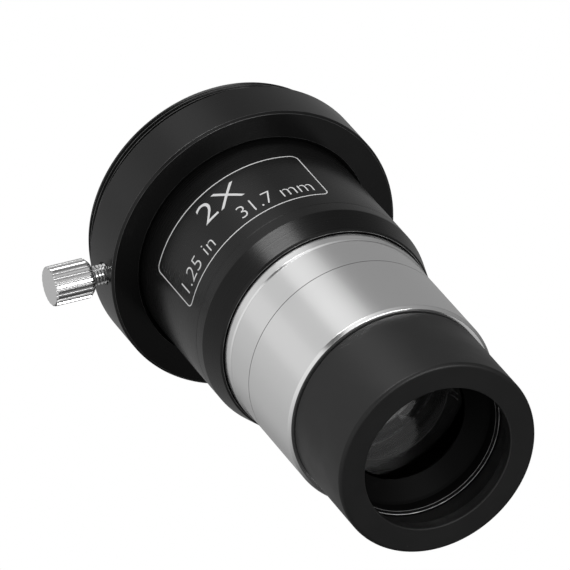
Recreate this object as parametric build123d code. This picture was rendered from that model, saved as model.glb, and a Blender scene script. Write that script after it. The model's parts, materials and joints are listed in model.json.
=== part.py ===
from build123d import *
import math
import os

# A 2x Barlow lens for 1.25 inch eyepieces, in millimetres.
# +Z runs from the eyepiece end to the lens end, and the thumbscrew lies along +X.
# The origin is the centre of the eyepiece socket's mouth, in the plane of the rear face.

# Standard interfaces
eyepiece_diameter = 31.75
t_thread_diameter = 42.0
screw_thread_diameter = 2.9

# Radial clearances of the fits, and the gap between faces that don't touch
socket_clearance = 0.075
assembly_clearance = 0.05
thread_clearance = 0.05
screw_passage_clearance = 0.15
face_gap = 0.05

# Lengths along Z, from the rear end to the front
t_thread_length = 4.0
flange_length = 8.3
plain_barrel_length = 21.4
shoulder_length = 4.2
exposed_nosepiece_length = 21.6
cell_length = 15.2

# Eyepiece collar
flange_overhang = 1.25
thread_relief_width = 0.9
thread_relief_depth = 0.8
barrel_seat_setback = 2.0
thread_chamfer = 0.4
flange_chamfer = 0.35
socket_chamfer = 0.45
barrel_seat_chamfer = 0.55

# Main barrel
barrel_wall = 1.65
shoulder_rim_width = 0.35
shoulder_edge_chamfer = 0.25
socket_ledge_thickness = 1.5
socket_ledge_width = 2.35
nosepiece_mouth_gap = 0.175
nosepiece_mouth_depth = 1.4

# Nosepiece
rear_band_length = 1.7
rear_band_rise = 0.2
tenon_length = 4.0
tenon_step = 0.775
nosepiece_wall = 2.575
nosepiece_chamfer = 0.4
cell_socket_wall = 1.625
cell_socket_relief = 0.2

# Lens cell
cell_step = 0.875
cell_tenon_length = 4.8
cell_tenon_wall = 1.0
seat_shoulder_width = 0.5
lip_width = 1.55
lip_thickness = 1.8
cell_front_chamfer = 0.6
cell_rear_chamfer = 0.35
aperture_chamfer = 0.25

# Optics and the rings that hold them
seat_depth = 6.3
seat_ring_length = 4.2
seat_ring_bevel = 0.35
seat_step_width = 1.2
seat_step_depth = 2.2
seat_cone_width = 2.4
negative_edge_thickness = 3.0
negative_front_sag = 0.7
inner_curve_sag = 0.9
meniscus_edge_thickness = 2.25
meniscus_rear_sag = 0.4
retaining_ring_length = 2.6
retaining_ring_width = 3.35
spanner_slot_width = 1.2
spanner_slot_depth = 1.0

# Glare stop
glare_stop_setback = 12.0
glare_stop_thickness = 1.5
glare_stop_width = 3.35

# Thumbscrew
screw_offset = 1.05
screw_tip_gap = 0.1
exposed_shank_length = 2.25
knob_diameter = 5.9
knob_length = 6.2
knob_inner_chamfer = 0.6
knob_outer_chamfer = 0.2
knob_end_wall = 1.4
flute_count = 22
flute_radius = 0.27

# Radii, from the eyepiece's size outwards and then inwards
socket_radius = eyepiece_diameter / 2 + socket_clearance
barrel_radius = socket_radius + barrel_wall
barrel_seat_radius = barrel_radius + assembly_clearance
t_thread_radius = t_thread_diameter / 2
flange_radius = t_thread_radius + flange_overhang
nosepiece_radius = eyepiece_diameter / 2
nosepiece_bore_radius = nosepiece_radius - nosepiece_wall
rear_band_radius = nosepiece_radius + rear_band_rise
tenon_radius = rear_band_radius - tenon_step
mouth_radius = rear_band_radius + nosepiece_mouth_gap
shoulder_end_radius = mouth_radius + shoulder_rim_width
cell_radius = nosepiece_radius - cell_step
cell_socket_radius = nosepiece_radius - cell_socket_wall
cell_tenon_radius = cell_socket_radius - thread_clearance
cell_bore_radius = cell_tenon_radius - cell_tenon_wall
inner_piece_radius = cell_bore_radius - assembly_clearance
chamber_radius = cell_bore_radius - seat_shoulder_width
aperture_radius = chamber_radius - lip_width
seat_step_radius = chamber_radius - seat_step_width
clear_radius = seat_step_radius - seat_cone_width
knob_radius = knob_diameter / 2
stud_radius = screw_thread_diameter / 2

# Stations along Z
flange_rear = t_thread_length
flange_front = flange_rear + flange_length
shoulder_rear = flange_front + plain_barrel_length
shoulder_front = shoulder_rear + shoulder_length
cell_rear = shoulder_front + exposed_nosepiece_length
cell_front = cell_rear + cell_length
barrel_rear = flange_rear + barrel_seat_setback
mouth_floor = shoulder_front - nosepiece_mouth_depth
ledge_front = mouth_floor - tenon_length
socket_floor = ledge_front - socket_ledge_thickness
seat_ring_front = cell_front - seat_depth
negative_front = seat_ring_front - seat_ring_length
negative_rear = negative_front - negative_edge_thickness
meniscus_front = negative_rear - face_gap
meniscus_rear = meniscus_front - meniscus_edge_thickness
retaining_ring_front = meniscus_rear - face_gap
screw_height = (flange_rear + flange_front) / 2 + screw_offset

# Stations along X
knob_inner_face = flange_radius + exposed_shank_length
knob_outer_face = knob_inner_face + knob_length
knob_socket_end = knob_outer_face - knob_end_wall


def turned(*profile):
    """Solid of revolution about Z, from (radius, height) points in order."""
    return revolve(Plane.XZ * make_face(Polyline(*profile, close=True)), Axis.Z)


def ring(inner_radius, outer_radius, low, high):
    """Plain ring about Z between two heights."""
    return turned(
        (inner_radius, low),
        (outer_radius, low),
        (outer_radius, high),
        (inner_radius, high),
    )


def along_x(radius, start, end):
    """Cylinder on the thumbscrew's axis between two distances from the Z axis."""
    axis_start = Plane((start, 0, screw_height), x_dir=(0, 1, 0), z_dir=(1, 0, 0))
    return extrude(axis_start * Circle(radius), end - start)


def eyepiece_collar():
    """Collar with the T-thread, the flange, the socket's mouth and the barrel's seat."""
    body = turned(
        (socket_radius + socket_chamfer, 0),
        (t_thread_radius - thread_chamfer, 0),
        (t_thread_radius, thread_chamfer),
        (t_thread_radius, flange_rear - thread_relief_width),
        (t_thread_radius - thread_relief_depth, flange_rear - thread_relief_width),
        (t_thread_radius - thread_relief_depth, flange_rear),
        (flange_radius - flange_chamfer, flange_rear),
        (flange_radius, flange_rear + flange_chamfer),
        (flange_radius, flange_front - flange_chamfer),
        (flange_radius - flange_chamfer, flange_front),
        (barrel_seat_radius + barrel_seat_chamfer, flange_front),
        (barrel_seat_radius, flange_front - barrel_seat_chamfer),
        (barrel_seat_radius, barrel_rear),
        (socket_radius, barrel_rear),
        (socket_radius, socket_chamfer),
    )
    return body - along_x(stud_radius + thread_clearance, socket_radius, knob_inner_face)


def main_barrel():
    """Tube that carries the label, with the socket's ledge and the nosepiece's seat."""
    tenon_seat_radius = tenon_radius + assembly_clearance
    body = turned(
        (socket_radius, barrel_rear),
        (barrel_radius, barrel_rear),
        (barrel_radius, shoulder_rear),
        (shoulder_end_radius, shoulder_front - shoulder_edge_chamfer),
        (shoulder_end_radius - shoulder_edge_chamfer, shoulder_front),
        (mouth_radius, shoulder_front),
        (mouth_radius, mouth_floor),
        (tenon_seat_radius, mouth_floor),
        (tenon_seat_radius, ledge_front),
        (socket_radius - socket_ledge_width, ledge_front),
        (socket_radius - socket_ledge_width, socket_floor),
        (socket_radius, socket_floor),
    )
    passage_radius = stud_radius + screw_passage_clearance
    return body - along_x(passage_radius, socket_radius / 2, barrel_radius + barrel_wall)


def nosepiece():
    """Silver tube that fits a 1.25 inch focuser, with the thread for the lens cell."""
    band_rear = mouth_floor
    band_front = shoulder_front + rear_band_length
    cell_socket_floor = cell_rear - cell_tenon_length - cell_socket_relief
    return turned(
        (nosepiece_bore_radius, ledge_front),
        (tenon_radius, ledge_front),
        (tenon_radius, band_rear),
        (rear_band_radius, band_rear),
        (rear_band_radius, band_front),
        (nosepiece_radius, band_front + rear_band_rise),
        (nosepiece_radius, cell_rear - nosepiece_chamfer),
        (nosepiece_radius - nosepiece_chamfer, cell_rear),
        (cell_socket_radius, cell_rear),
        (cell_socket_radius, cell_socket_floor),
        (nosepiece_bore_radius, cell_socket_floor),
    )


def glare_stop():
    """Baffle ring across the light path inside the nosepiece."""
    front = cell_rear - glare_stop_setback
    outer_radius = nosepiece_bore_radius - assembly_clearance
    bore_radius = outer_radius - glare_stop_width
    return turned(
        (bore_radius, front),
        (outer_radius, front),
        (outer_radius, front - glare_stop_thickness),
        (bore_radius + glare_stop_thickness, front - glare_stop_thickness),
    )


def lens_cell():
    """Front cell: the lip, the chamber behind it and the bore for the glass."""
    lip_rear = cell_front - lip_thickness
    tenon_rear = cell_rear - cell_tenon_length
    return turned(
        (cell_bore_radius, tenon_rear),
        (cell_tenon_radius, tenon_rear),
        (cell_tenon_radius, cell_rear),
        (cell_radius - cell_rear_chamfer, cell_rear),
        (cell_radius, cell_rear + cell_rear_chamfer),
        (cell_radius, cell_front - cell_front_chamfer),
        (cell_radius - cell_front_chamfer, cell_front),
        (aperture_radius + aperture_chamfer, cell_front),
        (aperture_radius, cell_front - aperture_chamfer),
        (aperture_radius, lip_rear),
        (chamber_radius, lip_rear),
        (chamber_radius, seat_ring_front),
        (cell_bore_radius, seat_ring_front),
    )


def lens_seat_ring():
    """Stepped ring between the cell's inner shoulder and the front glass."""
    step_height = seat_ring_front - seat_step_depth
    return turned(
        (clear_radius, negative_front),
        (inner_piece_radius, negative_front),
        (inner_piece_radius, seat_ring_front),
        (chamber_radius - seat_ring_bevel, seat_ring_front),
        (chamber_radius - 2 * seat_ring_bevel, seat_ring_front - seat_ring_bevel),
        (seat_step_radius + seat_ring_bevel, step_height + seat_ring_bevel),
        (seat_step_radius, step_height),
    )


def sphere_drop(sag, radius):
    """Height lost between the vertex and a radius, on a curve with this sag at the aperture."""
    curvature_radius = (clear_radius**2 + sag**2) / (2 * abs(sag))
    return math.copysign(curvature_radius - math.sqrt(curvature_radius**2 - radius**2), sag)


def lens(rear, front, rear_sag, front_sag):
    """Glass with flat rims; a positive sag hollows a face, and a negative one makes it bulge."""
    middle = clear_radius / 2
    rear_vertex = rear + rear_sag
    front_vertex = front - front_sag
    outline = [
        Line((0, front_vertex), (0, rear_vertex)),
        ThreePointArc(
            (0, rear_vertex),
            (middle, rear_vertex - sphere_drop(rear_sag, middle)),
            (clear_radius, rear),
        ),
        Polyline(
            (clear_radius, rear),
            (inner_piece_radius, rear),
            (inner_piece_radius, front),
            (clear_radius, front),
        ),
        ThreePointArc(
            (clear_radius, front),
            (middle, front_vertex + sphere_drop(front_sag, middle)),
            (0, front_vertex),
        ),
    ]
    return revolve(Plane.XZ * make_face(Curve() + outline), Axis.Z)


def negative_lens():
    """Front glass, hollow on both faces."""
    return lens(negative_rear, negative_front, inner_curve_sag, negative_front_sag)


def meniscus_lens():
    """Rear glass, which bulges into the front one."""
    return lens(meniscus_rear, meniscus_front, meniscus_rear_sag, -inner_curve_sag)


def retaining_ring():
    """Threaded ring behind the glass, with two spanner slots in its rear face."""
    rear = retaining_ring_front - retaining_ring_length
    bore_radius = inner_piece_radius - retaining_ring_width
    body = ring(bore_radius, inner_piece_radius, rear, retaining_ring_front)
    slot = Box(
        2 * cell_radius,
        spanner_slot_width,
        spanner_slot_depth,
        align=(Align.CENTER, Align.CENTER, Align.MIN),
    )
    return body - Pos(0, 0, rear) * slot


def thumbscrew_stud():
    """Threaded shank from just outside the eyepiece socket into the knob."""
    return along_x(stud_radius, socket_radius + screw_tip_gap, knob_socket_end - face_gap)


def thumbscrew_knob():
    """Fluted head with a chamfer at each end and a blind socket for the shank."""
    body = along_x(knob_radius, knob_inner_face, knob_outer_face)
    rims = body.edges().filter_by(GeomType.CIRCLE)
    body = chamfer(rims.group_by(Axis.X)[0], knob_inner_chamfer)
    rims = body.edges().filter_by(GeomType.CIRCLE)
    body = chamfer(rims.group_by(Axis.X)[-1], knob_outer_chamfer)
    flute = along_x(flute_radius, flange_radius, knob_outer_face + knob_length)
    for index in range(flute_count):
        angle = 2 * math.pi * index / flute_count
        body -= Pos(0, knob_radius * math.cos(angle), knob_radius * math.sin(angle)) * flute
    return body - along_x(stud_radius + thread_clearance, flange_radius, knob_socket_end)


pieces = [
    eyepiece_collar,
    main_barrel,
    nosepiece,
    glare_stop,
    lens_cell,
    lens_seat_ring,
    negative_lens,
    meniscus_lens,
    retaining_ring,
    thumbscrew_stud,
    thumbscrew_knob,
]

os.makedirs("parts", exist_ok=True)
for piece in pieces:
    export_step(piece(), f"parts/{piece.__name__}.step")
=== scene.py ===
"""Visual model of a 2x Barlow lens for 1.25 inch eyepieces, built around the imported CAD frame.

+Z runs from the eyepiece end to the lens end, and the thumbscrew lies along +X. Sizes in the classes
are in millimetres, as a maker would write them, and become metres where a mesh is made.
"""

import json
import logging
import math
from collections.abc import Iterable, Sequence
from dataclasses import dataclass
from enum import Enum

import bmesh
import bpy
from bmesh.types import BMEdge, BMesh, BMVert
from mathutils import Matrix, Vector


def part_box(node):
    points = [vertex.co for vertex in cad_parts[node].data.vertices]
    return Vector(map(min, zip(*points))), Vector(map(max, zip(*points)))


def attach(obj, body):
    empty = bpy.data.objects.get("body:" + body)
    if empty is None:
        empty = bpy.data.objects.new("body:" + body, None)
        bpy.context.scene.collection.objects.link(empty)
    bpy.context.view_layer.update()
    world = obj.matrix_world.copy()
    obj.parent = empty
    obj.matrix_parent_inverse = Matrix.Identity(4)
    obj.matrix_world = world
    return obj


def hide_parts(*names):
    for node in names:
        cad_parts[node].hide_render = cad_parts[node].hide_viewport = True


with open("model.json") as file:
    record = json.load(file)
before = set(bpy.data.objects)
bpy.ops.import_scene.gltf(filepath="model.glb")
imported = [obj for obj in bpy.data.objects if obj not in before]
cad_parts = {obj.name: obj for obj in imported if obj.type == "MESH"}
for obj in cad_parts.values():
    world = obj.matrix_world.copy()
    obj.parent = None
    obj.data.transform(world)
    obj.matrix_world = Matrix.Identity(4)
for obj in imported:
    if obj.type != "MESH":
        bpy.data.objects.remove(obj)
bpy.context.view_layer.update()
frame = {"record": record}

LOG = logging.getLogger("barlow")
MM = 0.001
STEPS = 256
INNER_STEPS = 192
MERGE_DISTANCE = 2e-7
TURN_MERGE_DISTANCE = 2e-6
SHARP_ANGLE = math.radians(40)

# Radius from which a rounded corner gets more facets, and the facets of each kind of corner.
BROAD_ROUNDING = 0.3
FINE_FACETS, BROAD_FACETS = 3, 10

# How edges are told apart for wear and for the painted shade in grooves: the least fold, and the widest
# rounded edge, chamfer and groove.
CREASE = math.radians(10)
ROUNDED_EDGE, CHAMFER, GROOVE = 0.12, 0.95, 0.15
CHAMFER_RUB = 0.3

# Height over which the end of a thread slopes into its relief.
RUN_OUT = 0.12


def node_box(node: str) -> tuple[Vector, Vector]:
    """Give the corners of a CAD node.

    Args:
        node: Name of the node.

    Returns:
        Its lowest and highest corners in millimetres.
    """
    low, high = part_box(node)
    return low / MM, high / MM


# ---------------------------------------------------------------------------------------------
# Shaping



@dataclass(frozen=True)
class Corner:
    """Corner of a turned outline: its radius, its height and the radius that rounds it over."""

    radius: float
    height: float
    rounding: float = 0.0


def outline_wire(shape: BMesh, corners: Sequence[Corner], closed: bool) -> list[BMVert | BMEdge]:
    """Draw an outline in the XZ plane and round its corners over.

    Args:
        shape: Mesh that receives the outline.
        corners: The corners in order.
        closed: Whether the last corner joins the first.

    Returns:
        The vertices and edges of the rounded outline.
    """
    before = set(shape.verts)
    points = [shape.verts.new((c.radius * MM, 0.0, c.height * MM)) for c in corners]
    following = points[1:] + points[:1] if closed else points[1:]
    for first, second in zip(points, following):
        shape.edges.new((first, second))
    for amount in sorted({c.rounding for c in corners if c.rounding > 0}):
        chosen = [p for p, c in zip(points, corners) if c.rounding == amount]
        bmesh.ops.bevel(
            shape,
            geom=chosen,
            offset=amount * MM,
            offset_type="OFFSET",
            segments=FINE_FACETS if amount < BROAD_ROUNDING else BROAD_FACETS,
            profile=0.5,
            affect="VERTICES",
            material=-1,
        )
    fresh = [v for v in shape.verts if v not in before]
    wires = {e for v in fresh for e in v.link_edges}
    return [*fresh, *wires]


def spin_wire(shape: BMesh, wire: list[BMVert | BMEdge], steps: int = STEPS) -> None:
    """Spin an outline once round Z into a surface.

    Args:
        shape: Mesh that holds the outline.
        wire: The outline's vertices and edges.
        steps: Number of steps in the full turn.
    """
    bmesh.ops.spin(
        shape,
        geom=wire,
        cent=(0, 0, 0),
        axis=(0, 0, 1),
        dvec=(0, 0, 0),
        angle=2 * math.pi,
        steps=steps,
        use_merge=True,
        use_duplicate=False,
    )


def close_up(shape: BMesh) -> BMesh:
    """Merge doubled vertices, drop faces without area and turn the faces outwards.

    Args:
        shape: Mesh to tidy.

    Returns:
        The same mesh.
    """
    bmesh.ops.remove_doubles(shape, verts=shape.verts, dist=MERGE_DISTANCE)
    bmesh.ops.dissolve_degenerate(shape, edges=shape.edges, dist=MERGE_DISTANCE)
    bmesh.ops.recalc_face_normals(shape, faces=shape.faces)
    return shape


def turned(corners: Sequence[Corner], steps: int = STEPS) -> BMesh:
    """Turn a closed outline into a solid about Z.

    Args:
        corners: The outline's corners in order.
        steps: Number of steps in the full turn.

    Returns:
        The closed shell.
    """
    shape = bmesh.new()
    spin_wire(shape, outline_wire(shape, corners, closed=True), steps)
    return close_up(shape)


@dataclass(frozen=True)
class Thread:
    """Right-handed outside thread about Z, with its crest and root radii and its two ends."""

    crest: float
    root: float
    pitch: float
    low: float
    high: float
    steps: int = STEPS
    crest_share: float = 0.14
    root_share: float = 0.22

    def add_to(self, shape: BMesh) -> None:
        """Add the thread's surface, cut square at both ends.

        Args:
            shape: Mesh that receives it.
        """
        flank = (1 - self.crest_share - self.root_share) / 2
        shares = (0, self.root_share, self.root_share + flank, 1 - flank, 1)
        radii = (self.root, self.root, self.crest, self.crest, self.root)
        start = self.low - 1.5 * self.pitch
        points = [
            shape.verts.new((radius * MM, 0, (start + share * self.pitch) * MM))
            for radius, share in zip(radii, shares)
        ]
        wire = [shape.edges.new(pair) for pair in zip(points, points[1:])]
        turns = math.ceil((self.high - start) / self.pitch) + 1
        bmesh.ops.spin(
            shape,
            geom=[*points, *wire],
            cent=(0, 0, 0),
            axis=(0, 0, 1),
            dvec=(0, 0, self.pitch / self.steps * MM),
            angle=2 * math.pi * turns,
            steps=self.steps * turns,
            use_merge=False,
            use_duplicate=False,
        )
        bmesh.ops.remove_doubles(shape, verts=shape.verts, dist=TURN_MERGE_DISTANCE)
        for height, facing in ((self.low, -1), (self.high, 1)):
            bmesh.ops.bisect_plane(
                shape,
                geom=[*shape.verts, *shape.edges, *shape.faces],
                dist=1e-9,
                plane_co=(0, 0, height * MM),
                plane_no=(0, 0, facing),
                clear_outer=True,
            )

    def lead_in(self, shape: BMesh, radius: float, end: float, facing: int) -> None:
        """Run one end of the thread out under a chamfer.

        Args:
            shape: Mesh that holds only the thread.
            radius: Radius of the chamfer at the end.
            end: Height of that end.
            facing: 1 if the thread lies above the end, or -1 below it.
        """
        for vertex in shape.verts:
            limit = radius * MM + max(0.0, facing * (vertex.co.z - end * MM))
            reach = vertex.co.xy.length
            if reach > limit:
                vertex.co.xy *= limit / reach


def boundary_loops(shape: BMesh) -> list[list[BMEdge]]:
    """Find the open rims of a mesh.

    Args:
        shape: Mesh to search.

    Returns:
        The rims' edges, with the lowest rim first.
    """
    waiting = {e for e in shape.edges if e.is_boundary}
    loops: list[list[BMEdge]] = []
    while waiting:
        loop, front = [], [waiting.pop()]
        while front:
            edge = front.pop()
            loop.append(edge)
            near = {e for v in edge.verts for e in v.link_edges if e in waiting}
            waiting -= near
            front.extend(near)
        loops.append(loop)
    return sorted(loops, key=lambda rim: sum(e.verts[0].co.z for e in rim) / len(rim))


def join_rims(shape: BMesh) -> BMesh:
    """Bridge the open rims in pairs, in the order of their heights, and close the mesh.

    Args:
        shape: Mesh with an even number of rims.

    Returns:
        The same mesh, closed.
    """
    rims = boundary_loops(close_up(shape))
    for first, second in zip(rims[::2], rims[1::2]):
        bmesh.ops.bridge_loops(shape, edges=[*first, *second])
    return close_up(shape)


def drill(shape: BMesh, radii: tuple[float, float], start: float, end: float, height: float) -> BMesh:
    """Cut a straight or tapered hole along +X in a solid.

    Args:
        shape: Solid to cut, which is used up.
        radii: Radius of the hole where the cut starts and where it ends.
        start: Distance from the Z axis where the cut starts.
        end: Distance from the Z axis where it ends.
        height: Height of the hole's centre.

    Returns:
        The cut solid.
    """
    first, last = (radius * MM for radius in radii)
    tool = bmesh.new()
    bmesh.ops.create_cone(
        tool, cap_ends=True, segments=64, radius1=first, radius2=last, depth=(end - start) * MM
    )
    middle = Matrix.Translation(((start + end) / 2 * MM, 0, height * MM))
    bmesh.ops.transform(tool, matrix=middle @ Matrix.Rotation(math.pi / 2, 4, "Y"), verts=tool.verts)
    return cut_away(shape, tool)


def cut_away(shape: BMesh, tool: BMesh) -> BMesh:
    """Cut one solid away from another.

    Args:
        shape: Solid to cut, which is used up.
        tool: Solid to cut away, which is used up.

    Returns:
        The cut solid.
    """
    blank, cutter = new_object("blank", shape), new_object("cutter", tool)
    cut = blank.modifiers.new("cut", "BOOLEAN")
    cut.operation, cut.solver, cut.object = "DIFFERENCE", "EXACT", cutter
    made = bpy.data.meshes.new_from_object(blank.evaluated_get(bpy.context.evaluated_depsgraph_get()))
    result = bmesh.new()
    result.from_mesh(made)
    for used in (blank, cutter):
        bpy.data.objects.remove(used)
    return result


def new_object(name: str, shape: BMesh) -> bpy.types.Object:
    """Make an object at the origin from a mesh in work, which is used up.

    Args:
        name: Name of the object.
        shape: Its mesh.

    Returns:
        The object, linked to the scene.
    """
    mesh = bpy.data.meshes.new(name)
    shape.to_mesh(mesh)
    shape.free()
    made = bpy.data.objects.new(name, mesh)
    bpy.context.scene.collection.objects.link(made)
    bpy.context.view_layer.update()
    return made


def mark_edges(shape: BMesh) -> None:
    """Store on each face how much handling rubs it, and whether it is a groove wall that gets painted shade.

    A face between two outward edges is a rounded edge or a chamfer, and a narrow one beside an
    inward edge is the wall of a groove.

    Args:
        shape: Mesh to mark.
    """
    rub = shape.faces.layers.float.new("rub")
    # The second layer flags narrow groove walls, which the finishes darken as painted shade.
    painted_groove_shade = shape.faces.layers.float.new("painted_groove_shade")
    for face in shape.faces:
        shared = [edge for edge in face.edges if len(edge.link_faces) == 2]
        edges = [(edge.calc_face_angle_signed(0.0), edge.calc_length()) for edge in shared]
        outward = [length for angle, length in edges if angle > CREASE]
        inward = [length for angle, length in edges if angle < -CREASE]
        if inward:
            face[painted_groove_shade] = float(face.calc_area() < GROOVE * MM * max(inward))
        elif len(outward) > 1:
            width = face.calc_area() / max(outward) / MM
            face[rub] = 1.0 if width < ROUNDED_EDGE else CHAMFER_RUB if width < CHAMFER else 0.0


def shade(shape: BMesh, sharp: float = SHARP_ANGLE) -> None:
    """Shade a mesh smooth, with a crease wherever its faces meet at a clear angle.

    Args:
        shape: Mesh to shade.
        sharp: Angle from which an edge is a crease.
    """
    for face in shape.faces:
        face.smooth = True
    for edge in shape.edges:
        edge.smooth = len(edge.link_faces) != 2 or edge.calc_face_angle(0.0) < sharp


# ---------------------------------------------------------------------------------------------
# Finishes


class Pattern(Enum):
    """What a finishing process leaves on a surface."""

    TURNED = "turned"
    BLASTED = "blasted"
    POLISHED = "polished"


class Effects:
    """Node groups that several finishes use."""

    def __init__(self) -> None:
        """Build every group once."""
        self.turning = self._turning_marks()
        self.grain = self._blast_grain()
        self.wear = self._edge_wear()
        self.dust = self._dust()

    @staticmethod
    def _open(
        name: str, values: dict[str, float], outputs: Iterable[str]
    ) -> tuple[bpy.types.NodeTree, bpy.types.Node, bpy.types.Node]:
        """Start a group.

        Args:
            name: Name of the group.
            values: Its number inputs with their defaults, beside the Vector input.
            outputs: Its number outputs.

        Returns:
            The group, its input node and its output node.
        """
        group = bpy.data.node_groups.new(name, "ShaderNodeTree")
        group.interface.new_socket("Vector", in_out="INPUT", socket_type="NodeSocketVector")
        for label, value in values.items():
            socket = group.interface.new_socket(label, in_out="INPUT", socket_type="NodeSocketFloat")
            socket.default_value = value
        for label in outputs:
            group.interface.new_socket(label, in_out="OUTPUT", socket_type="NodeSocketFloat")
        return group, group.nodes.new("NodeGroupInput"), group.nodes.new("NodeGroupOutput")

    @staticmethod
    def _math(
        tree: bpy.types.NodeTree, operation: str, *values: bpy.types.NodeSocket | float
    ) -> bpy.types.NodeSocket:
        """Add a Math node.

        Args:
            tree: Tree that receives it.
            operation: Blender's name for the operation.
            values: Sockets or numbers for its inputs.

        Returns:
            Its output.
        """
        node = tree.nodes.new("ShaderNodeMath")
        node.operation = operation
        for socket, value in zip(node.inputs, values):
            if isinstance(value, (int, float)):
                socket.default_value = value
            else:
                tree.links.new(value, socket)
        return node.outputs[0]

    def _turning_marks(self) -> bpy.types.NodeTree:
        """Make the group for the fine rings that a lathe tool leaves round an axis.

        Returns:
            The group.
        """
        tree, given, result = self._open(
            "turning marks", {"Marks per mm": 8.0, "Patch size mm": 6.0}, ("Height", "Mask")
        )
        split = tree.nodes.new("ShaderNodeSeparateXYZ")
        tree.links.new(given.outputs["Vector"], split.inputs[0])
        across = self._math(tree, "MULTIPLY", split.outputs["X"], split.outputs["X"])
        along = self._math(tree, "MULTIPLY", split.outputs["Y"], split.outputs["Y"])
        radial = self._math(tree, "SQRT", self._math(tree, "ADD", across, along))
        travel = self._math(tree, "ADD", split.outputs["Z"], self._math(tree, "MULTIPLY", radial, 1.7))
        place = self._math(tree, "MULTIPLY", travel, 1 / MM)
        rings = tree.nodes.new("ShaderNodeTexNoise")
        rings.noise_dimensions = "1D"
        rings.inputs["Scale"].default_value = 1.0
        rings.inputs["Detail"].default_value = 3.0
        rings.inputs["Roughness"].default_value = 0.65
        tree.links.new(
            self._math(tree, "MULTIPLY", place, given.outputs["Marks per mm"]), rings.inputs["W"]
        )
        patches = tree.nodes.new("ShaderNodeTexNoise")
        patches.inputs["Detail"].default_value = 2.0
        tree.links.new(given.outputs["Vector"], patches.inputs["Vector"])
        tree.links.new(
            self._math(tree, "DIVIDE", 1 / MM, given.outputs["Patch size mm"]), patches.inputs["Scale"]
        )
        tree.links.new(rings.outputs[0], result.inputs["Height"])
        tree.links.new(
            self._math(tree, "MULTIPLY", rings.outputs[0], patches.outputs[0]), result.inputs["Mask"]
        )
        return tree

    def _blast_grain(self) -> bpy.types.NodeTree:
        """Make the group for the pitted skin that bead blasting leaves.

        Returns:
            The group.
        """
        tree, given, result = self._open("blast grain", {"Grain mm": 0.12}, ("Height", "Mask"))
        scale = self._math(tree, "DIVIDE", 1 / MM, given.outputs["Grain mm"])
        pits = tree.nodes.new("ShaderNodeTexVoronoi")
        pits.feature = "SMOOTH_F1"
        fine = tree.nodes.new("ShaderNodeTexNoise")
        fine.inputs["Detail"].default_value = 4.0
        coarse = tree.nodes.new("ShaderNodeTexNoise")
        coarse.inputs["Detail"].default_value = 3.0
        for node, factor in ((pits, 1.0), (fine, 1.6), (coarse, 0.03)):
            tree.links.new(given.outputs["Vector"], node.inputs["Vector"])
            tree.links.new(self._math(tree, "MULTIPLY", scale, factor), node.inputs["Scale"])
        height = self._math(tree, "ADD", pits.outputs["Distance"], fine.outputs[0])
        tree.links.new(height, result.inputs["Height"])
        tree.links.new(coarse.outputs[0], result.inputs["Mask"])
        return tree

    def _edge_wear(self) -> bpy.types.NodeTree:
        """Make the group for the bare, broken line that handling rubs along outside edges.

        Returns:
            The group.
        """
        tree, given, result = self._open("edge wear", {"Rub": 0.0, "Break up mm": 2.5}, ("Mask",))
        spots = tree.nodes.new("ShaderNodeTexNoise")
        spots.inputs["Detail"].default_value = 4.0
        tree.links.new(given.outputs["Vector"], spots.inputs["Vector"])
        tree.links.new(
            self._math(tree, "DIVIDE", 1 / MM, given.outputs["Break up mm"]), spots.inputs["Scale"]
        )
        broken = self._math(tree, "MULTIPLY_ADD", spots.outputs[0], 2.4, -0.45)
        node = tree.nodes.new("ShaderNodeClamp")
        tree.links.new(self._math(tree, "MULTIPLY", broken, given.outputs["Rub"]), node.inputs[0])
        tree.links.new(node.outputs[0], result.inputs["Mask"])
        return tree

    def _dust(self) -> bpy.types.NodeTree:
        """Make the group for sparse specks of dust.

        Returns:
            The group.
        """
        tree, given, result = self._open("dust", {"Spacing mm": 1.6, "Speck size": 0.045}, ("Mask",))
        specks = tree.nodes.new("ShaderNodeTexVoronoi")
        tree.links.new(given.outputs["Vector"], specks.inputs["Vector"])
        tree.links.new(
            self._math(tree, "DIVIDE", 1 / MM, given.outputs["Spacing mm"]), specks.inputs["Scale"]
        )
        tint = tree.nodes.new("ShaderNodeSeparateColor")
        tree.links.new(specks.outputs["Color"], tint.inputs[0])
        reach = self._math(tree, "MULTIPLY", tint.outputs[0], given.outputs["Speck size"])
        near = self._math(tree, "LESS_THAN", specks.outputs["Distance"], reach)
        tree.links.new(near, result.inputs["Mask"])
        return tree


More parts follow.
